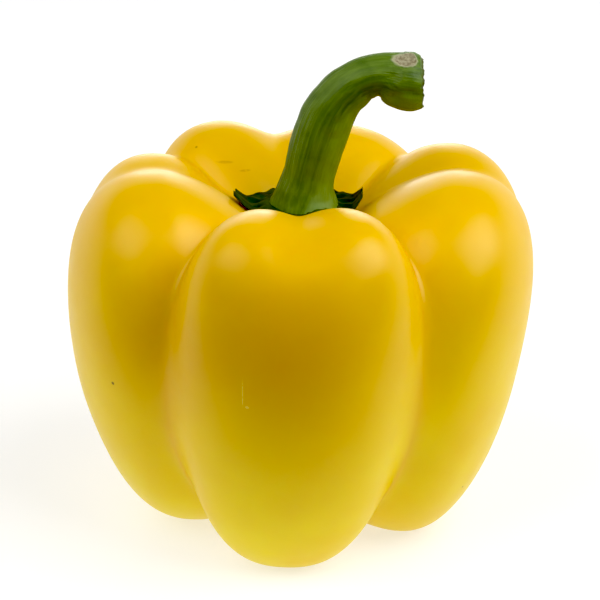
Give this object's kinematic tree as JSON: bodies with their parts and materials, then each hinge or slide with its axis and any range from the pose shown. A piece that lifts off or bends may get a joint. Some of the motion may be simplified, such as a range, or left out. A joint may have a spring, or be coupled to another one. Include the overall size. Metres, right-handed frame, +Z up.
{
  "type": "bell pepper",
  "caption": "Whole yellow bell pepper: a blocky lobed fruit standing on its feet, with a green calyx in its crown and a bent green stem.",
  "frame": {"origin": "centre of the bounding box seen from above, at the level of the surface that the fruit stands on", "axes": "+Z up through the crown, +X the way the stem bends, -Y towards the front lobe"},
  "size_m": [0.0892, 0.0844, 0.0952],
  "materials": {
    "fruit_skin": "smooth waxy yellow skin with a soft shine",
    "calyx_green": "dark green leathery dish with short curled teeth",
    "stem_green": "green ribbed stem with fine lengthwise lines and a dry cut end"
  },
  "bodies": {
    "root": {"fruit": "fruit_skin", "calyx": "calyx_green", "stem": "stem_green"}
  },
  "joints": []
}
